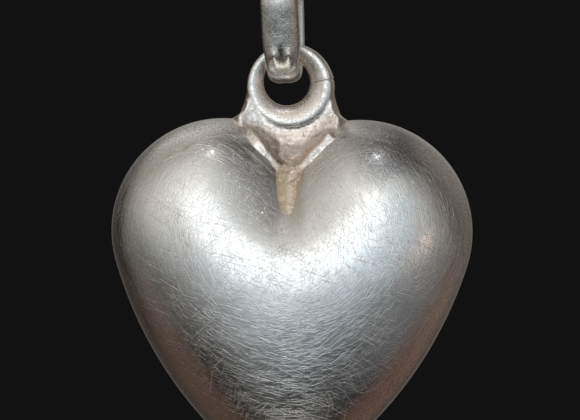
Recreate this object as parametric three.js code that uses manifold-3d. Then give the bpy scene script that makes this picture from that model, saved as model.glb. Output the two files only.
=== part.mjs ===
// A puffed heart charm of silver: two domed half shells soldered rim to rim, a worn ring soldered into
// the cleft between the lobes, and a tapered bail that hangs through the ring and takes the chain.
// Millimetres, +Z up, the heart's front faces -Y. The origin is the chain's seat, under the bail's crown.
import * as THREE from "three";
import { mergeVertices } from "three/addons/utils/BufferGeometryUtils.js";
import Module from "manifold-3d";

const wasm = await Module();
wasm.setup();

// Heart: on each side the seam outline is a lobe arc, a flank arc and a tip arc, all tangent
const HEART_WIDTH = 20;
const HEART_HEIGHT = 20.2; // lobe tops to tip
const LOBE_RADIUS = 6.2;
const FLANK_RADIUS = 22;
const TIP_RADIUS = 1.5;

// Dome of each half shell
const HALF_DEPTH = 4.5; // seam to the highest point
const HIGHEST_BELOW_LOBES = 2.5; // from the line between the lobe centres down to the highest point
const SHOULDER = 8.1; // distance in from the outline at which the dome would level out
const WALL = 0.5;
const CREASE_DEPTH = 3; // groove that runs down from the cleft
const CREASE_WIDTH = 2.2; // distance over which a side of the groove opens out
const CREASE_LENGTH = 8; // from the cleft to where the groove has faded
const CREASE_ROUNDING = 1.2; // radius of the groove's bottom where it fades, sharp at the cleft

// Seam, and the hole that lets gas out while the seam is soldered
const SEAM_GAP = 0.16;
const SEAM_RECESS = 0.04; // the solder lies this far inside the rims
const VENT_RADIUS = 0.4;
const VENT_ABOVE_TIP = 3.2;

// Ring of round wire, its hole worn up and to the left by the bail
const RING_OUTER_RADIUS = 2.43;
const RING_HOLE_RADIUS = 1.27;
const RING_WEAR = 0.27; // height of the hole's centre above the ring's
const RING_WEAR_SIDE = 0.22; // distance of the hole's centre to the left of the ring's
const RING_OFF_CENTRE = 0.17; // distance of the ring to the left of the heart's middle

// Solder that holds the ring in the cleft
const RING_SEAT_GAP = 0.1; // between the ring and the lobe that it rests on
const SOLDER_CLEARANCE = 0.03; // between the solder and what it joins
const FILLET_RADIUS = 0.75; // hollow at each side, between the ring and a lobe's top
const FILLET_EDGE = 0.12; // thickness where that hollow ends
const FLARE_RADIUS = 4; // hollow of the front and the back
const FLARE_DEPTH = 1.1; // front to back, where it is thinnest
const FLARE_START = 1.6; // from the ring's centre to where it is thinnest
const FLARE_REACH = 1.5; // how far it runs out past the ring
const FLARE_LAP = 0.22; // how far it laps the ring's wire
const COLLAR_LENGTH = 6.3; // of the rounded area that it wets, along the lobes' tops
const COLLAR_DEPTH = 3.8; // of that area, front to back
const TONGUE_LENGTH = 4.4; // of the solder that runs down the groove, from the cleft
const TONGUE_WIDTH = 1.7; // at the cleft
const TONGUE_TAPER = 0.35; // power of the distance from its end that its width follows

// Bail: a strip with a flat inside and a crowned outside, bent into a loop
const BAIL_INNER_HEIGHT = 5.15;
const BAIL_CROWN_RADIUS = 1.6; // inside, at the top
const BAIL_FOOT_RADIUS = 1.15; // inside, at the bottom
const BAIL_CROWN_WIDTH = 2.05;
const BAIL_TAPER = 1.7; // height over which the strip narrows to its foot
const BAIL_THICKNESS = 0.88;
const BAIL_EDGE = 0.42; // thickness of the strip at its sides
const BAIL_CHAMFER = 0.12; // on the inner edges
const BAIL_LEAN = 3; // degrees, with the crown to the left of the foot
const FOOT_SIDE_PLAY = 0.37; // to each side of the ring's hole, with the foot in its middle
const FOOT_CLEARANCE = 0.08; // between the foot's inner edges and the hole above them
const FOOT_SIDE_GAP = 0.16; // past that clearance, from the foot to the hole's left side

// Facets
const LOBE_STEPS = 22;
const FLANK_STEPS = 10;
const TIP_STEPS = 4;
const EDGE_SAMPLES = 12; // to a step of the outline, where the dome measures its distance
const OUTER_RINGS = 11;
const INNER_RINGS = 7;
const RING_STEPS = 40;
const WIRE_SIDES = 14;
const BAIL_BEND_STEPS = 9; // to half a bend
const BAIL_LEG_STEPS = 4;
const BAIL_CROWN_SIDES = 6;
const FILLET_STEPS = 8;
const COLLAR_SEGMENTS = 40;
const TONGUE_STEPS = 9;
const VENT_SEGMENTS = 16;

const shellSilver = { color: 0xd9d6d0, metalness: 1, roughness: 0.34 };
const wornSilver = { color: 0xe4e2de, metalness: 1, roughness: 0.22 };
const solder = { color: 0xcbb89a, metalness: 1, roughness: 0.42 };

// The heart's frame has its origin midway between the lobe centres
const lobeCentre = new THREE.Vector2(HEART_WIDTH / 2 - LOBE_RADIUS, 0);
const tipCentre = new THREE.Vector2(0, LOBE_RADIUS - HEART_HEIGHT + TIP_RADIUS);
const lobeToFlank = FLANK_RADIUS - LOBE_RADIUS;
const tipToFlank = FLANK_RADIUS - TIP_RADIUS;
const flankCentre = rightHandMeeting(lobeCentre, lobeToFlank, tipCentre, tipToFlank);
const domeMiddle = new THREE.Vector2(0, -HIGHEST_BELOW_LOBES);
const cleftHeight = cleftOf(LOBE_RADIUS);

// The ring lies between the lobes and rests on the nearer one
const ringToLobe = LOBE_RADIUS + RING_SEAT_GAP + RING_OUTER_RADIUS;
const ringHeight = Math.sqrt(ringToLobe ** 2 - (lobeCentre.x - Math.abs(RING_OFF_CENTRE)) ** 2);
const ringCentre = new THREE.Vector2(-RING_OFF_CENTRE, ringHeight);

// The bail's foot hangs by the hole's left side, as near to the hole's crown as its inner edges let it
const lean = THREE.MathUtils.degToRad(BAIL_LEAN);
const footHalfWidth = RING_HOLE_RADIUS - FOOT_SIDE_PLAY;
const footRoom = RING_HOLE_RADIUS - FOOT_CLEARANCE;
const footOffCentre = footRoom - FOOT_SIDE_GAP - footHalfWidth;
const footFace = leaning(0, -BAIL_INNER_HEIGHT);
const holeCentre = footFace.clone().add(new THREE.Vector2(footOffCentre, -footRise()));
const ringPlace = holeCentre.clone().add(new THREE.Vector2(RING_WEAR_SIDE, -RING_WEAR));
const heartPlace = ringPlace.clone().sub(ringCentre);

// Where two circles meet, on the right of the way from the first centre to the second
function rightHandMeeting(a, radiusA, b, radiusB) {
  const apart = a.distanceTo(b);
  const along = (radiusA ** 2 - radiusB ** 2 + apart ** 2) / (2 * apart);
  const across = Math.sqrt(radiusA ** 2 - along ** 2);
  const ahead = b.clone().sub(a).divideScalar(apart);
  const right = new THREE.Vector2(ahead.y, -ahead.x);
  return a.clone().addScaledVector(ahead, along).addScaledVector(right, across);
}

// A point of the upright bail, seen from the front, where it lies on the leaning bail
function leaning(x, z) {
  return new THREE.Vector2(x, z).rotateAround(new THREE.Vector2(), lean);
}

// Height of the foot's inner face above the hole's centre, with its nearest edge a clearance from the hole
function footRise() {
  const edges = [-1, 1].flatMap((side) => [
    leaning(side * (footHalfWidth - BAIL_CHAMFER), 0),
    leaning(side * footHalfWidth, -BAIL_CHAMFER),
  ]);
  return Math.min(...edges.map((p) => Math.sqrt(footRoom ** 2 - (p.x - footOffCentre) ** 2) - p.y));
}

// Height at which the two lobe arcs cross
function cleftOf(lobeRadius) {
  return Math.sqrt(lobeRadius ** 2 - lobeCentre.x ** 2);
}

function angleFrom(centre, point) {
  return Math.atan2(point.y - centre.y, point.x - centre.x);
}

function arc(centre, radius, from, to, steps) {
  return Array.from({ length: steps + 1 }, (_, i) => {
    const angle = from + ((to - from) * i) / steps;
    return new THREE.Vector2(centre.x + radius * Math.cos(angle), centre.y + radius * Math.sin(angle));
  });
}

// A half outline that starts and ends on the axis, followed by its mirror image back to the start
function mirroredLoop(half) {
  half[0].x = 0;
  half.at(-1).x = 0;
  const otherHalf = half.slice(1, -1).reverse();
  return [...half, ...otherHalf.map((p) => new THREE.Vector2(-p.x, p.y))];
}

// Seam outline set in by a distance, clockwise from the cleft, with each step split into finer ones
function heartOutline(inset, split = 1) {
  const lobeRadius = LOBE_RADIUS - inset;
  const cleft = new THREE.Vector2(0, cleftOf(lobeRadius));
  const flankStart = angleFrom(flankCentre, lobeCentre);
  const flankEnd = angleFrom(flankCentre, tipCentre);
  return mirroredLoop([
    ...arc(lobeCentre, lobeRadius, angleFrom(lobeCentre, cleft), flankStart, LOBE_STEPS * split),
    ...arc(flankCentre, FLANK_RADIUS - inset, flankStart, flankEnd, FLANK_STEPS * split).slice(1),
    ...arc(tipCentre, TIP_RADIUS - inset, flankEnd, -Math.PI / 2, TIP_STEPS * split).slice(1),
  ]);
}

// Height of a dome above the seam. Its distance in from the outline is a smooth one: the sum of 1 / r^3
// along a straight edge at distance d is 2 / d^2.
function domeHeight(inset, depth) {
  const edge = heartOutline(inset, EDGE_SAMPLES);
  const samples = edge.map((p, i) => {
    const next = edge[(i + 1) % edge.length];
    return { middle: p.clone().add(next).divideScalar(2), length: p.distanceTo(next) };
  });
  const rise = (point) => {
    const sum = samples.reduce((total, s) => total + s.length / s.middle.distanceTo(point) ** 3, 0);
    const share = Math.min(1, Math.sqrt(2 / sum) / SHOULDER);
    return Math.sqrt(share * (2 - share));
  };
  const fullRise = rise(domeMiddle);
  return (point) => {
    const height = (depth * rise(point)) / fullRise;
    const fade = THREE.MathUtils.smoothstep(point.y, cleftHeight - CREASE_LENGTH, cleftHeight);
    const rounding = CREASE_ROUNDING * (1 - fade);
    const aside = Math.hypot(point.x, rounding) - rounding;
    const crease = CREASE_DEPTH * fade * Math.exp(-aside / CREASE_WIDTH);
    return height ** 2 / (height + crease);
  };
}

// Rings of points up a front dome, from its rim to its middle, where the last ring is a single point
function domeRings(inset, depth, count, seam) {
  const outline = heartOutline(inset);
  const height = domeHeight(inset, depth);
  const raised = (p) => new THREE.Vector3(p.x, seam - height(p), p.y);
  const rings = [outline.map((p) => new THREE.Vector3(p.x, seam, p.y))];
  for (let i = 1; i < count; i++) {
    const share = 1 - Math.cos((i / count) * (Math.PI / 2));
    rings.push(outline.map((p) => raised(p.clone().lerp(domeMiddle, share))));
  }
  rings.push([raised(domeMiddle)]);
  return rings;
}

// Closed surface through rings of points, where a ring of one point is a pole.
// A loop joins the last ring to the first.
function loft(rings, isLoop = false) {
  const firsts = rings.map((_, ring) => rings.slice(0, ring).flat().length);
  const vertex = (ring, i) => firsts[ring] + (i % rings[ring].length);
  const indices = [];
  const bands = isLoop ? rings.length : rings.length - 1;
  for (let ring = 0; ring < bands; ring++) {
    const next = (ring + 1) % rings.length;
    const sides = Math.max(rings[ring].length, rings[next].length);
    for (let i = 0; i < sides; i++) {
      if (rings[ring].length > 1) indices.push(vertex(ring, i), vertex(ring, i + 1), vertex(next, i));
      if (rings[next].length > 1) indices.push(vertex(ring, i + 1), vertex(next, i + 1), vertex(next, i));
    }
  }
  const geometry = new THREE.BufferGeometry().setFromPoints(rings.flat());
  geometry.setIndex(indices);
  return geometry;
}

function solidOf(geometry) {
  const bare = geometry.clone();
  bare.deleteAttribute("normal");
  bare.deleteAttribute("uv");
  const merged = mergeVertices(bare);
  const vertProperties = merged.getAttribute("position").array;
  const triVerts = new Uint32Array(merged.getIndex().array);
  return new wasm.Manifold(new wasm.Mesh({ numProp: 3, vertProperties, triVerts }));
}

function geometryOf(solid) {
  const { vertProperties, triVerts } = solid.getMesh();
  const geometry = new THREE.BufferGeometry();
  geometry.setAttribute("position", new THREE.BufferAttribute(vertProperties, 3));
  geometry.setIndex(new THREE.BufferAttribute(triVerts, 1));
  return geometry;
}

// Half shell in front of the seam: up the outside from the middle to the rim, then up the inside
function halfShell() {
  const seam = -SEAM_GAP / 2;
  const outside = domeRings(0, HALF_DEPTH, OUTER_RINGS, seam).reverse();
  const inside = domeRings(WALL, HALF_DEPTH - WALL, INNER_RINGS, seam);
  return loft([...outside, ...inside]);
}

// The same half with a vent hole drilled square to the seam
function ventedShell() {
  const length = 2 * HALF_DEPTH;
  const drill = new THREE.CylinderGeometry(VENT_RADIUS, VENT_RADIUS, length, VENT_SEGMENTS);
  drill.translate(0, -SEAM_GAP - length / 2, LOBE_RADIUS - HEART_HEIGHT + VENT_ABOVE_TIP);
  return geometryOf(solidOf(halfShell()).subtract(solidOf(drill)));
}

function seamBand() {
  const loop = (inset, y) => heartOutline(inset).map((p) => new THREE.Vector3(p.x, y, p.y));
  const outer = SEAM_RECESS;
  const inner = WALL - SEAM_RECESS;
  const front = -SEAM_GAP / 2;
  const back = SEAM_GAP / 2;
  return loft([loop(outer, back), loop(inner, back), loop(inner, front), loop(outer, front)], true);
}

// Closed surface of a profile, in distance out and depth, carried round the Y axis
function turned(profileAt) {
  const directions = arc(new THREE.Vector2(), 1, 0, 2 * Math.PI, RING_STEPS).slice(1);
  const sectionAt = (out) => profileAt(out).map((p) => new THREE.Vector3(p.x * out.x, p.y, p.x * out.y));
  return loft(directions.map(sectionAt), true);
}

// Ring about its own centre. Its wire is as thick as the space between the outside and the worn hole.
function wornRing(growth = 0) {
  return turned((out) => {
    const lift = RING_WEAR * out.y - RING_WEAR_SIDE * out.x;
    const holeSide = RING_WEAR * out.x + RING_WEAR_SIDE * out.y;
    const hole = lift + Math.sqrt(RING_HOLE_RADIUS ** 2 - holeSide ** 2);
    const wireCentre = new THREE.Vector2((RING_OUTER_RADIUS + hole) / 2, 0);
    const wireRadius = (RING_OUTER_RADIUS - hole) / 2 + growth;
    return arc(wireCentre, wireRadius, 0, 2 * Math.PI, WIRE_SIDES).slice(1);
  });
}

// Both domes as one solid, grown by the solder's clearance
function heartToClear() {
  const front = domeRings(-SOLDER_CLEARANCE, HALF_DEPTH + SOLDER_CLEARANCE, OUTER_RINGS, -SEAM_GAP / 2);
  const back = front.map((ring) => ring.map((p) => new THREE.Vector3(p.x, -p.y, p.z)));
  return loft([...front.reverse(), ...back]);
}

// Solder under the ring, hollow in front and behind as it runs out from the ring
function solderFlare() {
  const inner = RING_OUTER_RADIUS - FLARE_LAP;
  const outer = RING_OUTER_RADIUS + FLARE_REACH;
  const hollowCentre = new THREE.Vector2(FLARE_START, FLARE_DEPTH / 2 + FLARE_RADIUS);
  const turnTo = (distance) => Math.asin((distance - FLARE_START) / FLARE_RADIUS) - Math.PI / 2;
  const back = arc(hollowCentre, FLARE_RADIUS, turnTo(inner), turnTo(outer), FILLET_STEPS);
  const front = back.map((p) => new THREE.Vector2(p.x, -p.y));
  return turned(() => [...front, ...back.toReversed()]);
}

// Outline of the solder beside the right lobe, from below a ring's centre to the heart's middle
function webSide(ringAt) {
  const toRing = RING_OUTER_RADIUS + FILLET_EDGE + FILLET_RADIUS;
  const toLobe = LOBE_RADIUS + FILLET_EDGE + FILLET_RADIUS;
  const hollowCentre = rightHandMeeting(lobeCentre, toLobe, ringAt, toRing);
  const ringSide = THREE.MathUtils.euclideanModulo(angleFrom(hollowCentre, ringAt), 2 * Math.PI);
  const lobeSide = THREE.MathUtils.euclideanModulo(angleFrom(hollowCentre, lobeCentre), 2 * Math.PI);
  const lapped = RING_OUTER_RADIUS - FLARE_LAP;
  const lapEnd = angleFrom(ringAt, hollowCentre);
  const underRing = arc(ringAt, lapped, -Math.PI / 2, lapEnd, FILLET_STEPS);
  const hollow = arc(hollowCentre, FILLET_RADIUS, ringSide, lobeSide, FILLET_STEPS);
  return [...underRing, ...hollow, new THREE.Vector2()];
}

// Prism that bounds the solder at the sides, where it is hollow between the ring and each lobe's top
function solderWeb() {
  const mirrored = (p) => new THREE.Vector2(-p.x, p.y);
  const left = webSide(mirrored(ringCentre)).map(mirrored);
  const web = new THREE.Shape([...webSide(ringCentre), ...left.slice(1, -1).reverse()]);
  const depth = FLARE_DEPTH + 2 * FLARE_RADIUS;
  const prism = new THREE.ExtrudeGeometry(web, { depth, bevelEnabled: false });
  return prism.translate(0, 0, -depth / 2).rotateX(Math.PI / 2);
}

// Column on the rounded area that the solder wets, seen from above
function wettedColumn() {
  const column = new THREE.CylinderGeometry(0.5, 0.5, HEART_HEIGHT, COLLAR_SEGMENTS);
  return column.rotateX(Math.PI / 2).scale(COLLAR_LENGTH, COLLAR_DEPTH, 1).translate(ringCentre.x, 0, 0);
}

// Solder that fills the front groove level with its sides, narrowing to its lower end
function solderTongue() {
  const height = domeHeight(0, HALF_DEPTH);
  const end = cleftHeight - TONGUE_LENGTH;
  const face = (x, z) => -SEAM_GAP / 2 - height(new THREE.Vector2(x, z));
  const section = (_, i) => {
    const share = (i + 1) / TONGUE_STEPS;
    const z = end + TONGUE_LENGTH * share;
    const half = (TONGUE_WIDTH / 2) * share ** TONGUE_TAPER;
    const front = face(half, z);
    return [
      new THREE.Vector3(-half, front, z),
      new THREE.Vector3(half, front, z),
      new THREE.Vector3(half, 0, z),
      new THREE.Vector3(-half, 0, z),
    ];
  };
  const sections = Array.from({ length: TONGUE_STEPS }, section);
  const lowest = new THREE.Vector3(0, face(0, end), end);
  const highest = new THREE.Vector3(0, 0, cleftHeight);
  return loft([[lowest], ...sections, [highest]]);
}

function ringSolder() {
  const flare = solderFlare().translate(ringCentre.x, 0, ringCentre.y);
  const ringToClear = wornRing(SOLDER_CLEARANCE).translate(ringCentre.x, 0, ringCentre.y);
  const collar = solidOf(flare).intersect(solidOf(solderWeb())).intersect(solidOf(wettedColumn()));
  const frontTongue = solidOf(solderTongue());
  const whole = collar.add(frontTongue).add(frontTongue.rotate([0, 0, 180]));
  return geometryOf(whole.subtract(solidOf(ringToClear)).subtract(solidOf(heartToClear())));
}

// Bail about the chain's seat: sections of the strip set round the inside of the loop
function bailLoop() {
  const footCentre = new THREE.Vector2(0, BAIL_FOOT_RADIUS - BAIL_INNER_HEIGHT);
  const crownCentre = new THREE.Vector2(0, -BAIL_CROWN_RADIUS);
  const legTilt = Math.asin((BAIL_FOOT_RADIUS - BAIL_CROWN_RADIUS) / footCentre.distanceTo(crownCentre));
  const path = (lift) => {
    const foot = arc(footCentre, BAIL_FOOT_RADIUS + lift, -Math.PI / 2, legTilt, BAIL_BEND_STEPS);
    const crown = arc(crownCentre, BAIL_CROWN_RADIUS + lift, legTilt, Math.PI / 2, BAIL_BEND_STEPS);
    const legPoint = (_, i) => foot.at(-1).clone().lerp(crown[0], (i + 1) / BAIL_LEG_STEPS);
    const leg = Array.from({ length: BAIL_LEG_STEPS - 1 }, legPoint);
    return mirroredLoop([...foot, ...leg, ...crown]);
  };
  const inside = path(0);
  const outside = path(BAIL_THICKNESS);
  const sections = inside.map((inner, i) => {
    const taper = THREE.MathUtils.smoothstep(inner.y, -BAIL_INNER_HEIGHT, BAIL_TAPER - BAIL_INNER_HEIGHT);
    const half = THREE.MathUtils.lerp(footHalfWidth, BAIL_CROWN_WIDTH / 2, taper);
    const crown = arc(new THREE.Vector2(), 1, 0, Math.PI, BAIL_CROWN_SIDES);
    const bulge = BAIL_THICKNESS - BAIL_EDGE;
    const strip = [
      new THREE.Vector2(half - BAIL_CHAMFER, 0),
      new THREE.Vector2(half, BAIL_CHAMFER),
      ...crown.map((p) => new THREE.Vector2(half * p.x, BAIL_EDGE + bulge * p.y)),
      new THREE.Vector2(-half, BAIL_CHAMFER),
      new THREE.Vector2(BAIL_CHAMFER - half, 0),
    ];
    return strip.map((p) => {
      const at = inner.clone().lerp(outside[i], p.y / BAIL_THICKNESS);
      return new THREE.Vector3(p.x, at.x, at.y);
    });
  });
  return loft(sections, true);
}

function part(name, geometry, material) {
  geometry.computeVertexNormals();
  const mesh = new THREE.Mesh(geometry, new THREE.MeshStandardMaterial(material));
  mesh.name = name;
  return mesh;
}

const backShell = part("back_shell", ventedShell(), shellSilver);
backShell.rotation.z = Math.PI;

const ring = part("hanging_ring", wornRing(), wornSilver);
ring.position.set(ringCentre.x, 0, ringCentre.y);

const bail = part("bail", bailLoop(), wornSilver);
bail.rotation.y = -lean;

const heart = new THREE.Group();
heart.position.set(heartPlace.x, 0, heartPlace.y);
heart.add(part("front_shell", halfShell(), shellSilver), backShell);
heart.add(part("seam_solder", seamBand(), solder), ring, part("ring_solder", ringSolder(), solder));

const charm = new THREE.Group();
charm.add(bail, heart);

export default charm;
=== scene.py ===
"""Puffed silver heart on its worn ring and bail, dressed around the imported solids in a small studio.

Lengths are in millimetres until a mesh is made. x runs across, y to the back and z up.
"""
import math

import bmesh
import bpy
import numpy as np
from mathutils import Matrix, Vector, noise


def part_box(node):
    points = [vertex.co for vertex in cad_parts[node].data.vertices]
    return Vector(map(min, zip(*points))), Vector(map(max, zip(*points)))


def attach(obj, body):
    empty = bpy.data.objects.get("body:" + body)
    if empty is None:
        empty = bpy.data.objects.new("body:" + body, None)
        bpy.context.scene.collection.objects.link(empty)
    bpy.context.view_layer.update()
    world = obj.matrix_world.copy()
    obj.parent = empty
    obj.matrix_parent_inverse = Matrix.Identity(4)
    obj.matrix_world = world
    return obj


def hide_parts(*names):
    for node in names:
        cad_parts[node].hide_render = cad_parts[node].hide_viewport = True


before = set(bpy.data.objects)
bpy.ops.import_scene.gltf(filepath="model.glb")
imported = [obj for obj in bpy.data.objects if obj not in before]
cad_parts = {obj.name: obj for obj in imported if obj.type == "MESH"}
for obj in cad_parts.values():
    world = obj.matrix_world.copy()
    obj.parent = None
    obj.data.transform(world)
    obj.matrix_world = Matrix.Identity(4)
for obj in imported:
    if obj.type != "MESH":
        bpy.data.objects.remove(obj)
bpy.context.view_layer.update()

MM = 0.001  # metres

# Heart outline and dome, as in the solids
LOBE_RADIUS = 6.2
FLANK_RADIUS = 22
TIP_RADIUS = 1.5
HEART_WIDTH = 20
HEART_HEIGHT = 20.2
HALF_DEPTH = 4.5
HIGHEST_BELOW_LOBES = 2.5
SHOULDER = 8.1
WALL = 0.5
CREASE_DEPTH = 3
CREASE_WIDTH = 2.2
CREASE_ROUNDING = 1.2
SEAM_GAP = 0.16
SEAM_RECESS = 0.04
VENT_RADIUS = 0.4
VENT_ABOVE_TIP = 3.2

# Ring and bail, as in the solids
RING_OUTER_RADIUS = 2.43
RING_HOLE_RADIUS = 1.27
RING_WEAR = 0.27
RING_WEAR_SIDE = 0.22
BAIL_INNER_HEIGHT = 5.15
BAIL_CROWN_RADIUS = 1.6
BAIL_FOOT_RADIUS = 1.15
BAIL_CROWN_HALF = 1.025
BAIL_FOOT_HALF = 0.9
BAIL_TAPER = 1.7
BAIL_THICKNESS = 0.88
BAIL_EDGE = 0.42
BAIL_CHAMFER = 0.12
BAIL_LEAN = 3  # degrees

# Shells, with dents and a softer end of the crease than in the solids
RIM_INSET = 0.015  # keeps worn rims inside the solids' box
CREASE_MIDDLE = 1.0  # height above the lobe row where the crease has half its depth
CREASE_SPREAD = 1.08
DENT_DEPTH = 0.035
DENT_SIZE = 3.1
FINE_DENT_SIZE = DENT_SIZE / 2.3
DENT_START, DENT_FULL = 0.3, 2.5  # heights above the seam's middle between which dents set in
FRONT_SEED = 1.0
BACK_SEED = 2.0
SEED_SHIFT = Vector((17.3, 5.1, 9.7))
OUTSIDE_RINGS = 84
INSIDE_RINGS = 10
BLOCK_RINGS = 60  # of the domes that shape the solder
VENT_DRILL = (0.5, 6)  # depths behind the seam's middle where the drill starts and ends
VENT_SIDES = 40
SEAM_SIDES = 12
SEAM_SQUARENESS = 4

# Wear of the ring
WIRE_POWERS = (4, 2.2)  # of the outer and the inner half of the wire's section, where 2 is round
WIRE_BEVEL = 0.3  # share of the wire's depth that the bail has worn off at the hole
BEVEL_START, BEVEL_FULL = 0.5, -0.9  # shares of the wire's radius, out from its middle
JOINT_ANGLE = 11  # degrees above the right, where the wire's ends meet
JOINT_REACH = 0.07  # radians on each side of the joint with fine steps
JOINT_CLEAR = 0.09  # radians on each side of the joint without coarse steps
JOINT_DEPTH = 0.05
JOINT_HALF = 0.035
RING_RIPPLES = ((0.014, 0.9, 5), (0.006, 0.35, 6))  # depth, size and seed
RING_STEPS, JOINT_STEPS, RING_SIDES = 150, 15, 48
RING_BLOCK_STEPS, RING_BLOCK_SIDES = 96, 32  # of the ring that shapes the solder

# Wear of the bail
BAIL_RIPPLE = 0.02
BAIL_RIPPLE_SIZE = 0.8
BAIL_SEED = 8
BAIL_BEND_STEPS, BAIL_LEG_STEPS = 30, 14
BAIL_CORNER_STEPS, BAIL_OUTSIDE_STEPS, BAIL_INSIDE_STEPS = 6, 40, 8
RIPPLE_START, RIPPLE_FULL = 0.1, 0.5  # heights above the strip's inner face
FOOT_WEAR_START, FOOT_WEAR_FULL = 0.4, 0.6  # heights above the strip's inner face
FOOT_GROOVE_TOP = -3.9  # height where the groove down the middle of the foot starts
FOOT_GROOVE_FADE = 0.7
FOOT_GROOVE_DEPTH = 0.05
FOOT_GROOVE_HALF = 0.25
FOOT_PAD_ROW = -4.55
FOOT_PAD_ASIDE = 0.43
FOOT_PAD_HALF_WIDTH = 0.22
FOOT_PAD_HALF_LENGTH = 0.3
FOOT_PAD_HEIGHT = 0.12

# Solder, about the heart's middle and its lobe row
WET_FILM = 0.085  # thickness of the solder that has crept out of the groove over the lobes
WET_LOW, WET_LOW_HALF = 3.5, 0.75
WET_HIGH, WET_HIGH_HALF = 5.7, 2.5
RIDGE_TOP, RIDGE_END = (2.3, 5.35), (0.6, 3.55)  # aside and up
RIDGE_RADIUS = 0.4
RIDGE_TAPER = 0.35
RIDGE_WAVE, RIDGE_WAVE_TURN = 0.15, 9
RIDGE_STEPS, RIDGE_SIDES = 12, 16
NECK_LEVELS = (  # up from the ring's centre, inner and outer edge aside of it, half depth
    (0.0, 2.0, 2.38, 0.25),
    (-0.9, 1.75, 2.6, 0.4),
    (-1.75, 1.4, 2.92, 0.5),
    (-2.5, 1.5, 3.2, 0.5),
)
BLOCK_MARGINS = (0.3, 0.1, 0.5), (0.3, 0.1, 0.8)  # of the lobes under the skin, round the solid's box
SKIN_MARGINS = (0.2, 0, 0.3), (0.2, 0, 0.7)  # of the skin that is kept, round the solid's box
SKIN_VOXEL = 0.07
SKIN_SMOOTHING = 36
SKIN_SINK = 0.03
BITE_IN_RING = 0.05
BITE_IN_HEART = 0.012

heart_box = [np.array(corner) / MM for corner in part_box("front_shell")]
ring_box = [np.array(corner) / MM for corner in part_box("hanging_ring")]
middle_x = (heart_box[0][0] + heart_box[1][0]) / 2
lobe_row = heart_box[1][2] - LOBE_RADIUS
tip_level = lobe_row + LOBE_RADIUS - HEART_HEIGHT
heart_place = np.array([middle_x, 0, lobe_row])
ring_place = (ring_box[0] + ring_box[1]) / 2
lobe_centre = np.array([HEART_WIDTH / 2 - LOBE_RADIUS, 0.0])
tip_centre = np.array([0.0, LOBE_RADIUS - HEART_HEIGHT + TIP_RADIUS])
dome_middle = np.array([0.0, -HIGHEST_BELOW_LOBES])


def smoothstep(value, low, high):
    share = np.clip((value - low) / (high - low), 0, 1)
    return share * share * (3 - 2 * share)


def arc(centre, radius, start, end, steps):
    angles = np.linspace(start, end, steps + 1)
    return np.asarray(centre) + radius * np.c_[np.cos(angles), np.sin(angles)]


def angle_from(centre, point):
    return math.atan2(point[1] - centre[1], point[0] - centre[0])


def mirrored_loop(half):
    """A half outline from the axis to the axis, followed by its mirror image back to the start."""
    half = np.array(half)
    half[0, 0] = half[-1, 0] = 0
    return np.vstack([half, half[-2:0:-1] * [-1, 1]])


def flank_middle():
    """Centre of the right flank's arc, which touches the lobe's circle and the tip's."""
    near, far = FLANK_RADIUS - LOBE_RADIUS, FLANK_RADIUS - TIP_RADIUS
    apart = np.hypot(*(tip_centre - lobe_centre))
    along = (near ** 2 - far ** 2 + apart ** 2) / (2 * apart)
    ahead = (tip_centre - lobe_centre) / apart
    right = np.array([ahead[1], -ahead[0]])
    return lobe_centre + along * ahead + math.sqrt(near ** 2 - along ** 2) * right


def heart_outline(inset, lobe_steps=78, flank_steps=40, tip_steps=16):
    """Seam outline about the lobe row, clockwise from the cleft."""
    lobe_radius = LOBE_RADIUS - inset
    cleft = (0, math.sqrt(lobe_radius ** 2 - lobe_centre[0] ** 2))
    flank = flank_middle()
    start, end = angle_from(flank, lobe_centre), angle_from(flank, tip_centre)
    return mirrored_loop(np.vstack([
        arc(lobe_centre, lobe_radius, angle_from(lobe_centre, cleft), start, lobe_steps),
        arc(flank, FLANK_RADIUS - inset, start, end, flank_steps)[1:],
        arc(tip_centre, TIP_RADIUS - inset, end, -math.pi / 2, tip_steps)[1:],
    ]))


def soft_distance(points, outline):
    """Smooth distance in from an outline: the integral of 1 / r^3 along a straight edge at d is 2 / d^2."""
    ends = np.roll(outline, -1, 0)
    lengths = np.hypot(*(ends - outline).T)
    ahead = (ends - outline) / lengths[:, None]
    off = points[:, None, :] - outline[None]
    along = (off * ahead[None]).sum(-1)
    across = (off[..., 0] * ahead[None, :, 1] - off[..., 1] * ahead[None, :, 0]) ** 2
    across = np.maximum(across, 1e-9)  # no division by zero on the outline itself
    reach = lengths[None] - along
    total = reach / np.sqrt(across + reach ** 2) + along / np.sqrt(across + along ** 2)
    return np.sqrt(2 / (total / across).sum(1))


def dome(inset, depth):
    """Height of a dome above the seam, as a function of points."""
    outline = heart_outline(inset)

    def rise(points):
        share = np.minimum(1, soft_distance(points, outline) / SHOULDER)
        return np.sqrt(share * (2 - share))

    full = rise(dome_middle[None])[0]

    def height(points):
        plain = depth * rise(points) / full
        fade = 1 / (1 + np.exp((CREASE_MIDDLE - points[:, 1]) / CREASE_SPREAD))
        rounding = CREASE_ROUNDING * (1 - fade)
        aside = np.hypot(points[:, 0], rounding) - rounding
        crease = CREASE_DEPTH * fade * np.exp(-aside / CREASE_WIDTH)
        return plain ** 2 / (plain + crease)

    return height


def ripple(points, size, seed):
    """Smooth noise from -1 to 1 at each point."""
    return np.array([noise.noise(Vector(p) / size + seed * SEED_SHIFT) for p in points])


def dome_rings(inset, depth, count):
    """Rings of points up a front dome, from its rim to its middle."""
    outline = heart_outline(inset)
    height = dome(inset, depth)
    rings = [np.insert(outline, 1, -SEAM_GAP / 2, axis=1)]
    for i in range(1, count + 1):
        share = 1 - math.cos(i / count * math.pi / 2)
        flat = outline + (dome_middle - outline) * share if i < count else dome_middle[None]
        rings.append(np.c_[flat[:, 0], -SEAM_GAP / 2 - height(flat), flat[:, 1]])
    return rings


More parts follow.
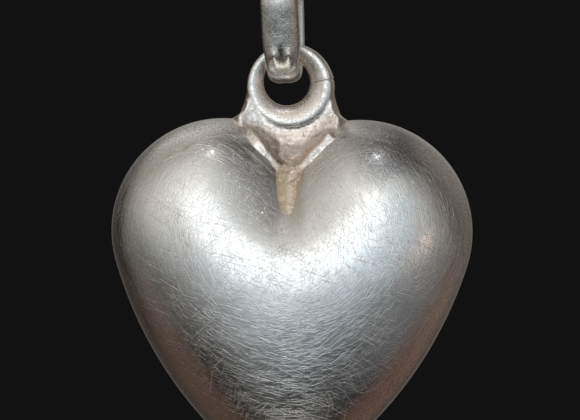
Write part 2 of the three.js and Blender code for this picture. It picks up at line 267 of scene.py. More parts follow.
def dented(rings, seed):
    """The same rings of a front dome with shallow dents that fade out towards its rim."""
    for ring in rings[1:]:
        fade = smoothstep(-ring[:, 1], DENT_START, DENT_FULL)
        dents = 0.75 - 0.5 * ripple(ring, DENT_SIZE, seed) - 0.25 * ripple(ring, FINE_DENT_SIZE, seed + 1)
        ring[:, 1] += DENT_DEPTH * fade * dents
    return rings


def lofted(rings, is_loop=False):
    """Vertices and faces of a surface through rings of points, where a ring of one point is a pole."""
    firsts = np.cumsum([0] + [len(ring) for ring in rings])
    faces = []
    for near in range(len(rings) if is_loop else len(rings) - 1):
        far = (near + 1) % len(rings)
        near_count, far_count = len(rings[near]), len(rings[far])
        for i in range(max(near_count, far_count)):
            a, b = firsts[near] + i % near_count, firsts[near] + (i + 1) % near_count
            c, d = firsts[far] + (i + 1) % far_count, firsts[far] + i % far_count
            faces.append([int(k) for k in dict.fromkeys((a, b, c, d))])
    return np.vstack(rings), faces


def capped(rings):
    """Vertices and faces of a solid through rings of points, with a pole in the middle of each end."""
    return lofted([rings[0].mean(0)[None], *rings, rings[-1].mean(0)[None]])


def mesh_object(name, vertices, faces, unit=MM):
    """A smooth-shaded object with its faces turned outwards."""
    mesh = bpy.data.meshes.new(name)
    mesh.from_pydata((np.asarray(vertices) * unit).tolist(), [], faces)
    bm = bmesh.new()
    bm.from_mesh(mesh)
    bmesh.ops.recalc_face_normals(bm, faces=bm.faces)
    bm.to_mesh(mesh)
    bm.free()
    mesh.polygons.foreach_set("use_smooth", [True] * len(mesh.polygons))
    piece = bpy.data.objects.new(name, mesh)
    bpy.context.collection.objects.link(piece)
    return piece


def modify(piece, kind, **settings):
    """Adds a modifier with its settings."""
    modifier = piece.modifiers.new(kind.lower(), kind)
    for key, value in settings.items():
        setattr(modifier, key, value)


def apply_modifiers(piece):
    """Puts what the piece's modifiers make into its mesh."""
    shown = piece.evaluated_get(bpy.context.evaluated_depsgraph_get())
    mesh = bpy.data.meshes.new_from_object(shown)
    piece.modifiers.clear()
    piece.data = mesh


def cut(piece, operation, solid, unit=1):
    """Cuts a piece by a solid, or keeps what the two share. The unit is the piece's."""
    other = mesh_object("other", *solid, unit=unit)
    modify(piece, "BOOLEAN", operation=operation, object=other, solver="EXACT")
    apply_modifiers(piece)
    bpy.data.objects.remove(other)


def dress(piece, node, body, material):
    """The piece takes the place of a solid and moves with its body."""
    piece.data.materials.clear()
    piece.data.materials.append(material)
    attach(piece, body)
    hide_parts(node)


# Materials

SILVER = (0.87, 0.85, 0.82, 1)
RUBBED_SILVER = (0.95, 0.92, 0.87, 1)
DULL_SILVER = (0.66, 0.63, 0.59, 1)
STAINED_SILVER = (0.56, 0.51, 0.45, 1)
GREY_FILM_AND_SHADE = (0.42, 0.42, 0.44, 1)
WARM_FILM_AND_SHADE = (0.78, 0.73, 0.67, 1)
DARK_SPECK = (0.26, 0.23, 0.20, 1)
TARNISH = (0.42, 0.33, 0.22, 1)
PINK_SOLDER = (0.90, 0.81, 0.74, 1)
TAN_SOLDER = (0.58, 0.48, 0.34, 1)
ROSY_SOLDER = (0.66, 0.53, 0.42, 1)
DARK_SOLDER = (0.47, 0.35, 0.24, 1)
BROWN_SOLDER = (0.76, 0.65, 0.58, 1)
SHADED_FLOOR = (0.74, 0.70, 0.65, 1)
PALE_FLOOR = (0.78, 0.74, 0.69, 1)

BUFFED_BELOW = 1  # how far below the lobe row the point lies that buffing marks run round
ARC_RADIUS = 6  # distance from that point where buffing marks have their named length
PAINTED_SHADE_LOBE_TOP = (5.0, 4.9)  # middle of the painted shade on top of the right lobe, a denser speckled grey film, aside and above the lobe row
GROOVE_SHADE_HEIGHT = 0.35  # height above the bail's foot where the painted shade in its groove is full
SCRATCH_SWAY = 0.37  # of a scratch's turn, as a share of the step between two directions
ARC_SWAY = 1.5  # most that buffing marks run askew, in millimetres for each radian
LAYER_SWAY = 2.4  # radians
SEED_STEP, LAYER_STEP = 31, 13.7  # in the noise


class Nodes:
    """Short ways to add nodes to a tree."""

    def __init__(self, tree):
        self.tree = tree

    def add(self, kind, inputs=None, **settings):
        node = self.tree.nodes.new(kind)
        for key, value in settings.items():
            setattr(node, key, value)
        for key, value in (inputs or {}).items():
            self.feed(node.inputs[key], value)
        return node

    def feed(self, socket, value):
        if isinstance(value, bpy.types.NodeSocket):
            self.tree.links.new(value, socket)
        else:
            socket.default_value = value

    def math(self, operation, a, b=0.0, c=0.0):
        return self.add("ShaderNodeMath", {0: a, 1: b, 2: c}, operation=operation).outputs[0]

    def times(self, a, b):
        return self.math("MULTIPLY", a, b)

    def plus(self, a, b, share=1.0):
        """The first value and a share of the second."""
        return self.math("MULTIPLY_ADD", b, share, a)

    def minus(self, a, b):
        return self.math("SUBTRACT", a, b)

    def larger(self, a, b):
        return self.math("MAXIMUM", a, b)

    def size(self, a):
        return self.math("ABSOLUTE", a)

    def ramp(self, value, low, high, to_low=0.0, to_high=1.0):
        """Smooth step of a value from one range to another."""
        inputs = {"Value": value, "From Min": low, "From Max": high, "To Min": to_low, "To Max": to_high}
        node = self.add("ShaderNodeMapRange", inputs, interpolation_type="SMOOTHSTEP")
        return node.outputs["Result"]

    def mix(self, share, a, b, blend="MIX"):
        node = self.add("ShaderNodeMix", {"Factor": share}, data_type="RGBA", blend_type=blend)
        first, second = [socket for socket in node.inputs if socket.type == "RGBA"]
        self.feed(first, a)
        self.feed(second, b)
        return next(socket for socket in node.outputs if socket.type == "RGBA")


class Shader(Nodes):
    """A Principled material in millimetres of the piece's own frame."""

    def __init__(self, name, metallic=1.0):
        self.material = bpy.data.materials.new(name)
        self.material.use_nodes = True
        super().__init__(self.material.node_tree)
        self.surface = self.tree.nodes["Principled BSDF"]
        self.surface.inputs["Metallic"].default_value = metallic
        own = self.add("ShaderNodeTexCoord").outputs["Object"]
        scaled = self.add("ShaderNodeVectorMath", {0: own, "Scale": 1 / MM}, operation="SCALE")
        self.spot = scaled.outputs["Vector"]
        self.x, self.y, self.z = self.add("ShaderNodeSeparateXYZ", {0: self.spot}).outputs

    def distance(self, x, z):
        """Distance from a line along y."""
        aside, up = self.minus(self.x, x), self.minus(self.z, z)
        return self.math("SQRT", self.plus(self.times(up, up), aside, aside))

    def angle(self, x, z):
        """Angle about a line along y, from the right."""
        return self.math("ARCTAN2", self.minus(self.z, z), self.minus(self.x, x))

    def noise(self, size, detail=2.0, roughness=0.5, shift=0.0, stretch=(1, 1, 1), turn=0.0):
        """Noise from 0 to 1 with grains of a size, stretched along its own axes after a turn about y."""
        inputs = {
            "Vector": self.spot,
            "Location": (shift, 0.7 * shift, 1.3 * shift),
            "Rotation": (0, turn, 0),
            "Scale": tuple(size * s for s in stretch),
        }
        place = self.add("ShaderNodeMapping", inputs, vector_type="TEXTURE")
        inputs = {"Vector": place.outputs[0], "Scale": 1.0, "Detail": detail, "Roughness": roughness}
        return self.add("ShaderNodeTexNoise", inputs).outputs["Fac"]

    def scratches(self, layers, width, length, low, high, seed):
        """Needle-shaped marks in several directions, 1 where a mark is deepest.

        A mark lies where its layer's noise is past low, and runs straight through in y.
        """
        total = 0.0
        for i in range(layers):
            turn = math.pi * (i + SCRATCH_SWAY * layer_sway(seed, i)) / layers
            stretch = (length, length, width)
            grain = self.noise(1.0, detail=0.0, shift=layer_shift(seed, i), stretch=stretch, turn=turn)
            total = self.plus(self.ramp(grain, low, high), total)
        return total

    def arcs(self, turn, across, layers, width, length, low, high, seed):
        """Marks that follow an angle, side by side across it and some askew, 1 where a mark is deepest."""
        total = 0.0
        for i in range(layers):
            inputs = {
                0: self.times(turn, ARC_RADIUS / length),
                1: self.times(self.plus(across, turn, ARC_SWAY * layer_sway(seed, i)), 1 / width),
                2: layer_shift(seed, i),
            }
            place = self.add("ShaderNodeCombineXYZ", inputs).outputs[0]
            inputs = {"Vector": place, "Scale": 1.0, "Detail": 0.0}
            grain = self.add("ShaderNodeTexNoise", inputs).outputs["Fac"]
            total = self.plus(self.ramp(grain, low, high), total)
        return total

    def bump(self, height, depth, below=None):
        """Normal of a relief, where height 1 stands a depth in millimetres above 0."""
        node = self.add("ShaderNodeBump", {"Height": height, "Distance": depth * MM, "Strength": 1.0})
        if below is not None:
            self.feed(node.inputs["Normal"], below)
        return node.outputs["Normal"]

    def finish(self, colour, roughness, normal):
        self.feed(self.surface.inputs["Base Color"], colour)
        self.feed(self.surface.inputs["Roughness"], roughness)
        self.feed(self.surface.inputs["Normal"], normal)
        return self.material


def layer_sway(seed, i):
    """Uneven turn of one layer of marks, from -1 to 1."""
    return math.sin(seed + LAYER_SWAY * i)


def layer_shift(seed, i):
    """Place in the noise that one layer of marks takes for itself."""
    return seed * SEED_STEP + i * LAYER_STEP


def past_solder(s, row, away, mottle):
    """How far a spot lies outside the area beside the groove that the solder wets, with an uneven border."""
    slope = (WET_HIGH_HALF - WET_LOW_HALF) / (WET_HIGH - WET_LOW)
    reach = s.plus(WET_LOW_HALF - slope * WET_LOW, row, slope)
    return s.minus(s.plus(away, mottle, 0.5), reach)


def shell_silver():
    """Buffed and scratched, filmed grey in speckles, stained at the seam and beside the solder; the speckled
    film grows heavier towards the seam and on the right lobe's top as painted shade.
    """
    s = Shader("shell_silver")
    mottle = s.noise(0.16, detail=3.0, roughness=0.6, shift=1.0)
    cloud = s.noise(2.6, detail=2.0, roughness=0.5, shift=6.0)
    speckle = s.noise(0.11, detail=3.0, roughness=0.7, shift=4.0)
    row = s.minus(s.z, lobe_row)
    away = s.size(s.minus(s.x, middle_x))
    depth = s.size(s.y)

    # Grey film speckles, heavier towards the seam as painted shade that darkens the heart's edges.
    side = s.ramp(depth, 3.3, 0.8)
    film = s.times(s.ramp(speckle, 0.46, 0.60), s.plus(s.ramp(cloud, 0.3, 0.7, 0.0, 0.1), side, 0.7))
    # Painted shade: a denser speckled grey film darkens the top of the right lobe.
    far = s.distance(middle_x + PAINTED_SHADE_LOBE_TOP[0], lobe_row + PAINTED_SHADE_LOBE_TOP[1])
    painted_shade_top = s.ramp(s.plus(far, cloud, 1.5), 3.5, 1.7)
    film = s.larger(film, s.times(painted_shade_top, s.ramp(speckle, 0.34, 0.56, 0.5, 1.0)))
    colour = s.mix(film, SILVER, GREY_FILM_AND_SHADE)

    groove = s.times(s.ramp(s.plus(away, mottle, 0.6), 1.6, 0.7), s.ramp(row, -1.4, 1.8))
    seam = s.ramp(s.plus(depth, mottle, 0.5), 0.75, 0.3)
    stain = s.mix(s.ramp(row, 2.0, 3.4), STAINED_SILVER, TARNISH)
    colour = s.mix(s.larger(groove, s.times(seam, 0.8)), colour, stain)
    halo = s.times(s.ramp(past_solder(s, row, away, mottle), 1.3, 0.2), s.ramp(row, 2.8, 3.8))
    colour = s.mix(s.times(halo, 0.5), colour, PINK_SOLDER)
    roughness = s.plus(s.ramp(mottle, 0.34, 0.66, 0.11, 0.19), s.larger(groove, halo), 0.25)

    buff_place = middle_x, lobe_row - BUFFED_BELOW
    out, turn = s.distance(*buff_place), s.angle(*buff_place)
    hairlines = s.scratches(10, width=0.05, length=1.05, low=0.70, high=0.80, seed=1.0)
    buffed = s.arcs(turn, out, 5, width=0.045, length=1.1, low=0.66, high=0.80, seed=3.0)
    deep = s.scratches(4, width=0.07, length=2.6, low=0.74, high=0.82, seed=2.0)
    rounded = s.arcs(turn, s.y, 4, width=0.05, length=1.0, low=0.66, high=0.80, seed=5.0)
    faced = s.ramp(depth, 0.9, 2.6, 0.0, -1.0)
    flanking = s.ramp(depth, 3.4, 2.2, 0.0, -1.0)
    relief = s.bump(s.times(hairlines, faced), 0.0023)
    relief = s.bump(s.times(buffed, faced), 0.0028, relief)
    relief = s.bump(s.times(deep, faced), 0.004, relief)
    relief = s.bump(s.times(rounded, flanking), 0.005, relief)
    relief = s.bump(s.times(speckle, side), 0.010, relief)
    return s.finish(colour, roughness, relief)


def ring_silver():
    """Rubbed bright, pinkish towards the foot from solder, and pinkish towards the hole as tarnish and a
    painted warm reflection.
    """
    s = Shader("ring_silver")
    mottle = s.noise(0.14, detail=3.0, roughness=0.6, shift=2.0)
    out = s.distance(ring_place[0], ring_place[2])
    # Towards the hole the pink is partly tarnish and partly a painted warm reflection.
    inner = s.ramp(s.plus(out, mottle, 0.4), 2.25, 1.95)
    foot = s.ramp(s.plus(s.minus(s.z, ring_place[2]), mottle, 0.5), -1.2, -2.0)
    colour = s.mix(s.times(mottle, 0.15), RUBBED_SILVER, DULL_SILVER)
    colour = s.mix(s.larger(s.times(inner, 0.8), s.times(foot, 0.4)), colour, PINK_SOLDER)
    roughness = s.ramp(mottle, 0.3, 0.7, 0.2, 0.4)
    marks = s.scratches(5, width=0.05, length=0.5, low=0.66, high=0.78, seed=4.0)
    relief = s.bump(s.times(marks, -1.0), 0.004, s.bump(mottle, 0.004))
    return s.finish(colour, roughness, relief)


def bail_silver():
    """Creamy on the left, filmed grey in the middle, brown on the right, and rubbed bright at the foot; the
    lighter left and darker brown right are painted reflection over real film and tarnish, and the foot's
    groove is darkened as painted shade.
    """
    s = Shader("bail_silver")
    mottle = s.noise(0.14, detail=4.0, roughness=0.66, shift=7.0, stretch=(0.8, 1, 1.4))
    patch = s.noise(0.7, detail=3.0, roughness=0.55, shift=9.0)
    specks = s.noise(0.12, detail=3.0, roughness=0.7, shift=11.0)
    # Painted reflection: the strip stays lighter on its left and turns darker brown towards its right, over
    # its own mottled film, tarnish and specks.
    across = s.plus(s.x, s.minus(patch, 0.5), 0.7)
    front = s.ramp(s.y, 0.4, -0.4)
    leg = s.times(front, s.ramp(s.plus(s.z, patch), -4.4, -3.7))

    film = s.times(s.ramp(across, -0.55, -0.05), s.ramp(mottle, 0.36, 0.58, 0.1, 0.65))
    colour = s.mix(s.times(leg, film), RUBBED_SILVER, WARM_FILM_AND_SHADE)
    right_tarnish_and_shade = s.times(s.ramp(across, 0.35, 0.85), s.ramp(mottle, 0.3, 0.6, 0.15, 0.5))
    colour = s.mix(s.times(leg, right_tarnish_and_shade), colour, TARNISH)
    colour = s.mix(s.times(leg, s.ramp(specks, 0.5, 0.64, 0.0, 0.58)), colour, DARK_SPECK)

    # Painted shade: the middle of the foot's groove is darkened between its two highlights.
    off_middle = s.size(s.plus(s.x, s.z, math.tan(math.radians(BAIL_LEAN))))
    below_top = s.ramp(s.z, FOOT_GROOVE_TOP, FOOT_GROOVE_TOP - 0.4)
    above_foot = s.ramp(s.z, -BAIL_INNER_HEIGHT, GROOVE_SHADE_HEIGHT - BAIL_INNER_HEIGHT, 0.0, 0.9)
    groove = s.times(s.times(s.ramp(off_middle, 0.2, 0.06), below_top), above_foot)
    colour = s.mix(s.times(groove, front), colour, DARK_SPECK)

    worn = s.ramp(s.plus(s.z, patch, 0.4), -4.0, -4.5, 1.0, 0.9)
    rear = s.ramp(s.y, 0.3, 0.9, 0.0, 0.25)
    roughness = s.plus(rear, worn, s.ramp(mottle, 0.3, 0.7, 0.18, 0.38))
    marks = s.scratches(5, width=0.05, length=0.6, low=0.66, high=0.78, seed=6.0)
    faced = s.ramp(s.size(s.y), 1.2, 1.9, 0.0, -1.0)
    relief = s.bump(s.times(marks, faced), 0.003, s.bump(mottle, 0.005))
    return s.finish(colour, roughness, relief)


def seam_metal():
    """Dull silver, tarnished in patches."""
    s = Shader("seam_metal")
    mottle = s.noise(0.22, detail=4.0, roughness=0.6, shift=3.0)
    colour = s.mix(s.ramp(mottle, 0.35, 0.65), DULL_SILVER, TARNISH)
    return s.finish(colour, s.ramp(mottle, 0.3, 0.7, 0.25, 0.5), s.bump(mottle, 0.012))


def ring_solder_metal():
    """Pinkish with brown streaks round the ring, tan down the groove, and silvery where it thins out; the
    tongue down the groove is darker on its left as painted shade and has a painted highlight down its middle.
    """
    s = Shader("ring_solder_metal")
    mottle = s.noise(0.13, detail=4.0, roughness=0.65, shift=5.0)
    lumps = s.noise(0.5, detail=1.0, roughness=0.5, shift=7.0)
    streak = s.noise(0.5, detail=4.0, roughness=0.6, shift=9.0, stretch=(1.5, 1, 0.6))
    row = s.minus(s.z, lobe_row)
    level = s.plus(row, lumps)
    aside = s.minus(s.x, middle_x)
    away = s.size(aside)

    colour = s.mix(s.ramp(streak, 0.44, 0.6, 0.0, 0.7), PINK_SOLDER, BROWN_SOLDER)
    # The tongue is darker tan on its left as painted shade and rosier on its right, and its paler middle line
    # is a painted highlight.
    tongue = s.mix(s.ramp(s.plus(aside, mottle, 0.3), 0.1, 0.3), TAN_SOLDER, ROSY_SOLDER)
    painted_highlight_line = s.ramp(s.size(s.plus(s.minus(aside, 0.32), mottle, 0.5)), 0.22, 0.0)
    tongue = s.mix(s.times(painted_highlight_line, 0.5), tongue, PINK_SOLDER)
    colour = s.mix(s.ramp(level, 5.0, 3.9), colour, tongue)

    tongue_half = s.plus(0.3, row, 0.13)
    edge = s.ramp(s.plus(s.math("DIVIDE", away, tongue_half), mottle, 0.5), 0.75, 1.2)
    thin = s.larger(s.ramp(level, 2.0, 1.0), s.times(s.ramp(row, 3.5, 2.9), edge))
    colour = s.mix(s.times(thin, 0.8), colour, s.mix(edge, STAINED_SILVER, TARNISH))

    rim = s.times(s.ramp(past_solder(s, row, away, mottle), -0.25, 0.25), s.ramp(row, 3.0, 3.8))
    rim = s.larger(rim, s.ramp(level, 6.0, 7.0))
    colour = s.mix(s.times(rim, 0.35), colour, SILVER)
    pits = s.ramp(s.plus(mottle, lumps, 0.5), 0.82, 0.98)
    colour = s.mix(s.times(pits, 0.8), colour, DARK_SOLDER)
    roughness = s.ramp(mottle, 0.3, 0.7, 0.24, 0.46)
    relief = s.bump(mottle, 0.006, s.bump(lumps, 0.07))
    return s.finish(colour, roughness, relief)


def floor_paint():
    s = Shader("floor_paint", metallic=0.0)
    cloud = s.noise(18.0, detail=3.0, roughness=0.5, shift=1.0)
    grain = s.noise(0.5, detail=2.0, roughness=0.5, shift=4.0)
    return s.finish(s.mix(cloud, SHADED_FLOOR, PALE_FLOOR), 0.7, s.bump(grain, 0.02))


# Heart


def vent_drill():
    """Vertices and faces of a round bar square to the seam, where the back has its vent."""
    rim = arc((middle_x, tip_level + VENT_ABOVE_TIP), VENT_RADIUS, 0, 2 * math.pi, VENT_SIDES)[1:]
    return capped([np.insert(rim, 1, y, axis=1) for y in VENT_DRILL])


def half_shell(name, seed, is_back):
    outside = dented(dome_rings(RIM_INSET, HALF_DEPTH - RIM_INSET, OUTSIDE_RINGS), seed)
    inside = dome_rings(WALL, HALF_DEPTH - WALL, INSIDE_RINGS)
    vertices, faces = lofted(outside[::-1] + inside)
    if is_back:
        vertices = vertices * [-1, -1, 1]
    piece = mesh_object(name, vertices + heart_place, faces)
    if is_back:
        cut(piece, "DIFFERENCE", vent_drill(), unit=MM)
    return piece


def seam_band():
    """Band of solder between the rims, with its edges rounded."""
    rings = []
    for turn in np.linspace(0, 2 * math.pi, SEAM_SIDES + 1)[:-1]:
        outline = heart_outline(WALL / 2 - (WALL / 2 - SEAM_RECESS) * math.cos(turn))
        squared = np.clip(SEAM_SQUARENESS * math.sin(turn), -1, 1)
        rings.append(np.insert(outline, 1, SEAM_GAP / 2 * squared, axis=1) + heart_place)
    return mesh_object("seam_line", *lofted(rings, is_loop=True))


# Ring


def ring_wire(angle):
    """Distance from the ring's centre to the wire's, and the wire's radius, in a direction."""
    out_x, out_z = math.cos(angle), math.sin(angle)
    lift = RING_WEAR * out_z - RING_WEAR_SIDE * out_x
    hole = lift + math.sqrt(RING_HOLE_RADIUS ** 2 - (RING_WEAR * out_x + RING_WEAR_SIDE * out_z) ** 2)
    return (RING_OUTER_RADIUS + hole) / 2, (RING_OUTER_RADIUS - hole) / 2


def wire_section(middle, radius, sides):
    """Outline of the wire in distance out and depth, flattened on its sides and thinner towards the hole."""
    turn = np.linspace(0, 2 * math.pi, sides + 1)[1:]
    way = np.c_[np.cos(turn), np.sin(turn)]
    power = np.where(way[:, 0] > 0, *WIRE_POWERS)
    reach = radius / (np.abs(way) ** power[:, None]).sum(1) ** (1 / power)
    section = way * reach[:, None]
    section[:, 1] *= 1 - WIRE_BEVEL * smoothstep(section[:, 0], BEVEL_START * radius, BEVEL_FULL * radius)
    return (middle, 0) + section


def carried_round(section, angle):
    """Points of a section, in distance out and depth, set in a direction round the ring."""
    return np.c_[section[:, 0] * math.cos(angle), section[:, 1], section[:, 0] * math.sin(angle)]


def worn_ring():
    """The ring, rippled by wear, with a fine groove where the wire's ends meet."""
    joint = math.radians(JOINT_ANGLE)
    coarse = np.linspace(JOINT_CLEAR, 2 * math.pi - JOINT_CLEAR, RING_STEPS)
    fine = np.linspace(-JOINT_REACH, JOINT_REACH, JOINT_STEPS)
    sections = []
    for angle in joint + np.r_[coarse, fine]:
        middle, radius = ring_wire(angle)
        away = math.remainder(angle - joint, 2 * math.pi) * RING_OUTER_RADIUS
        radius -= JOINT_DEPTH * math.exp(-(away / JOINT_HALF) ** 2)
        section = wire_section(middle, radius, RING_SIDES)
        around = carried_round(section, angle)
        wear = sum(depth * (1 + ripple(around, size, seed)) for depth, size, seed in RING_RIPPLES)
        section = (middle, 0) + (section - (middle, 0)) * (1 - wear / radius)[:, None]
        sections.append(carried_round(section, angle) + ring_place)
    return mesh_object("worn_ring", *lofted(sections, is_loop=True))


def ring_solid(inset):
    """Vertices and faces of the ring without its ripples and joint, set in by a distance."""
    sections = []
    for angle in np.linspace(0, 2 * math.pi, RING_BLOCK_STEPS + 1)[:-1]:
        middle, radius = ring_wire(angle)
        section = wire_section(middle, radius - inset, RING_BLOCK_SIDES)
        sections.append(carried_round(section, angle) + ring_place)
    return lofted(sections, is_loop=True)


# Bail


def bail_section(half):
    """Strip's outline across its width and up from its inner face."""
    corner = arc((half - BAIL_CHAMFER, BAIL_CHAMFER), BAIL_CHAMFER, -math.pi / 2, 0, BAIL_CORNER_STEPS)
    crown = arc((0, 0), 1, 0, math.pi, BAIL_OUTSIDE_STEPS)
    crown = np.c_[half * crown[:, 0], BAIL_EDGE + (BAIL_THICKNESS - BAIL_EDGE) * crown[:, 1]]
    other = corner[::-1] * [-1, 1]
    face = np.linspace(-1, 1, BAIL_INSIDE_STEPS + 1)[1:-1, None] * [half - BAIL_CHAMFER, 0]
    return np.vstack([corner, crown, other, face])


def bail_path(lift):
    """Loop in depth and height, a distance out from the strip's inner face, from the foot's middle."""
    foot, crown = np.array([0, BAIL_FOOT_RADIUS - BAIL_INNER_HEIGHT]), np.array([0, -BAIL_CROWN_RADIUS])
    tilt = math.asin((BAIL_FOOT_RADIUS - BAIL_CROWN_RADIUS) / (crown - foot)[1])
    low = arc(foot, BAIL_FOOT_RADIUS + lift, -math.pi / 2, tilt, BAIL_BEND_STEPS)
    high = arc(crown, BAIL_CROWN_RADIUS + lift, tilt, math.pi / 2, BAIL_BEND_STEPS)
    leg = low[-1] + (high[0] - low[-1]) * np.linspace(0, 1, BAIL_LEG_STEPS + 1)[1:-1, None]
    return mirrored_loop(np.vstack([low, leg, high]))


def bail_wear(strip, at):
    """What is worn off the strip at points of its outline, less the two pads on its foot."""
    across, up, height = strip[:, 0], strip[:, 1], at[:, 1]
    ripples = 1 + ripple(np.c_[across, at], BAIL_RIPPLE_SIZE, BAIL_SEED)
    outside = smoothstep(up, FOOT_WEAR_START, FOOT_WEAR_FULL)
    low = smoothstep(height, FOOT_GROOVE_TOP, FOOT_GROOVE_TOP - FOOT_GROOVE_FADE)
    groove = low * np.exp(-(across / FOOT_GROOVE_HALF) ** 2)
    pad_aside = (np.abs(across) - FOOT_PAD_ASIDE) / FOOT_PAD_HALF_WIDTH
    pad_up = (height - FOOT_PAD_ROW) / FOOT_PAD_HALF_LENGTH
    pads = np.exp(-pad_aside ** 2 - pad_up ** 2)
    worn = BAIL_RIPPLE * ripples * smoothstep(up, RIPPLE_START, RIPPLE_FULL)
    return worn + (FOOT_GROOVE_DEPTH * groove - FOOT_PAD_HEIGHT * pads) * outside


def bail_band():
    lean = math.radians(BAIL_LEAN)
    leaning = np.array([[math.cos(lean), 0, math.sin(lean)], [0, 1, 0], [-math.sin(lean), 0, math.cos(lean)]])
    sections = []
    for near, far in zip(bail_path(0), bail_path(BAIL_THICKNESS)):
        taper = smoothstep(near[1], -BAIL_INNER_HEIGHT, BAIL_TAPER - BAIL_INNER_HEIGHT)
        strip = bail_section(BAIL_FOOT_HALF + (BAIL_CROWN_HALF - BAIL_FOOT_HALF) * taper)
        outwards = (far - near) / BAIL_THICKNESS
        worn = bail_wear(strip, near + outwards * strip[:, 1:])
        at = near + outwards * (strip[:, 1] - worn)[:, None]
        sections.append(np.c_[strip[:, 0], at] @ leaning)
    return mesh_object("bail_band", *lofted(sections, is_loop=True))


# Solder


def box_solid(low, high):
    """Vertices and faces of a box."""
    corners = [(x, y, z) for x in (low[0], high[0]) for y in (low[1], high[1]) for z in (low[2], high[2])]
    faces = [(0, 1, 3, 2), (4, 6, 7, 5), (0, 4, 5, 1), (2, 3, 7, 6), (0, 2, 6, 4), (1, 5, 7, 3)]
    return np.array(corners), faces


def box_round(node, margins):
    """Vertices and faces of a node's box, widened below and above."""
    low, high = (np.array(corner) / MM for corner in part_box(node))
    return box_solid(low - margins[0], high + margins[1])


def heart_solid(inset):
    """Vertices and faces of both dented domes as one solid, set in by a distance."""
    front = dented(dome_rings(inset, HALF_DEPTH - inset, BLOCK_RINGS), FRONT_SEED)
    back = dented(dome_rings(inset, HALF_DEPTH - inset, BLOCK_RINGS), BACK_SEED)
    back = [np.roll(ring[::-1], 1, axis=0) * [-1, -1, 1] for ring in back]
    vertices, faces = lofted(front[::-1] + back)
    return vertices + heart_place, faces


def solid_of(piece):
    """Vertices and faces of a mesh in its own unit."""
    mesh = piece.data
    return np.array([v.co for v in mesh.vertices]), [list(p.vertices) for p in mesh.polygons]


def joined(*solids):
    """Vertices and faces of several meshes as one."""
    vertices, faces = [], []
    for points, sides in solids:
        first = sum(len(v) for v in vertices)
        faces += [[first + int(i) for i in side] for side in sides]
        vertices.append(points)
    return np.vstack(vertices), faces


def wetted_prism():
    """Prism through the heart over the area beside the groove that the solder wets."""
    right = [(WET_LOW_HALF, WET_LOW), (WET_HIGH_HALF, WET_HIGH), (WET_HIGH_HALF, LOBE_RADIUS)]
    left = [(-x, z) for x, z in right[::-1]]
    return capped([np.insert(right + left, 1, y, axis=1) + heart_place for y in (-HALF_DEPTH, HALF_DEPTH)])


def neck_wedge(side):
    """Solder between one side of the ring and the lobes, thin where it starts on the ring."""
    rings = []
    for up, inner, outer, half in NECK_LEVELS:
        corners = [(inner, -half), (outer, -half / 2), (outer, half / 2), (inner, half)]
        rings.append(np.array([(side * x, y, up) for x, y in corners]) + ring_place)
    return capped(rings)


def solder_ridge(side):
    """Bead of solder down the inner slope of one lobe, from the collar to the tongue."""
    front = dome(RIM_INSET, HALF_DEPTH - RIM_INSET)
    top, end = (np.array([side * aside, up]) for aside, up in (RIDGE_TOP, RIDGE_END))
    across = np.array([top[1] - end[1], 0, end[0] - top[0]])
    across = across / np.linalg.norm(across)
    turn = np.linspace(0, 2 * math.pi, RIDGE_SIDES + 1)[:-1, None]
    section = np.cos(turn) * across + np.sin(turn) * [0, 1, 0]
    rings = []
    for share in np.linspace(0, 1, RIDGE_STEPS + 1):
        at = top + (end - top) * share
        middle = np.array([at[0], -front(at[None])[0], at[1]]) + heart_place
        wave = 1 + RIDGE_WAVE * math.sin(RIDGE_WAVE_TURN * share + 2 * side)
        rings.append(middle + RIDGE_RADIUS * (1 - RIDGE_TAPER * share) * wave * section)
    return capped(rings)


def ring_fillet():
    """Solder as a smooth skin over the ring, the lobes and the solid's solder, less ring and lobes."""
    heart = mesh_object("heart_block", *heart_solid(RIM_INSET), unit=1)
    cut(heart, "INTERSECT", box_round("ring_solder", BLOCK_MARGINS))
    film = mesh_object("solder_film", *heart_solid(RIM_INSET - WET_FILM), unit=1)
    cut(film, "INTERSECT", wetted_prism())
    vertices, faces = solid_of(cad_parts["ring_solder"])
    beads = [bead(side) for bead in (neck_wedge, solder_ridge) for side in (-1, 1)]
    whole = joined((vertices / MM, faces), ring_solid(0), solid_of(heart), solid_of(film), *beads)
    bpy.data.objects.remove(heart)
    bpy.data.objects.remove(film)

    piece = mesh_object("ring_fillet", *whole, unit=1)
    modify(piece, "REMESH", mode="VOXEL", voxel_size=SKIN_VOXEL)
    modify(piece, "SMOOTH", factor=0.5, iterations=SKIN_SMOOTHING)
    modify(piece, "DISPLACE", mid_level=0, strength=-SKIN_SINK)
    apply_modifiers(piece)
    cut(piece, "INTERSECT", box_round("ring_solder", SKIN_MARGINS))
    cut(piece, "DIFFERENCE", ring_solid(BITE_IN_RING))
    cut(piece, "DIFFERENCE", heart_solid(RIM_INSET + BITE_IN_HEART))
    piece.data.transform(Matrix.Scale(MM, 4))
    piece.data.polygons.foreach_set("use_smooth", [True] * len(piece.data.polygons))
    return piece


front = half_shell("heart_front", FRONT_SEED, is_back=False)
back = half_shell("heart_back", BACK_SEED, is_back=True)
dress(front, "front_shell", "heart", shell_silver())
dress(back, "back_shell", "heart", front.data.materials[0])
dress(seam_band(), "seam_solder", "heart", seam_metal())
dress(worn_ring(), "hanging_ring", "heart", ring_silver())
dress(ring_fillet(), "ring_solder", "heart", ring_solder_metal())
dress(bail_band(), "bail", "bail", bail_silver())

# Studio

FLOOR_RADIUS = 210
FLOOR_BELOW_TIP = 12
FLOOR_SIDES = 96
LAMP_ELEVATION = 62  # degrees
LAMP_DISTANCE = 240
LAMP_SIZE = 9
LAMP_RADIANCE = 40
LAMP_AIM_BELOW_LOBES = 1
DARK_ROOM = (0.006, 0.006, 0.0065)


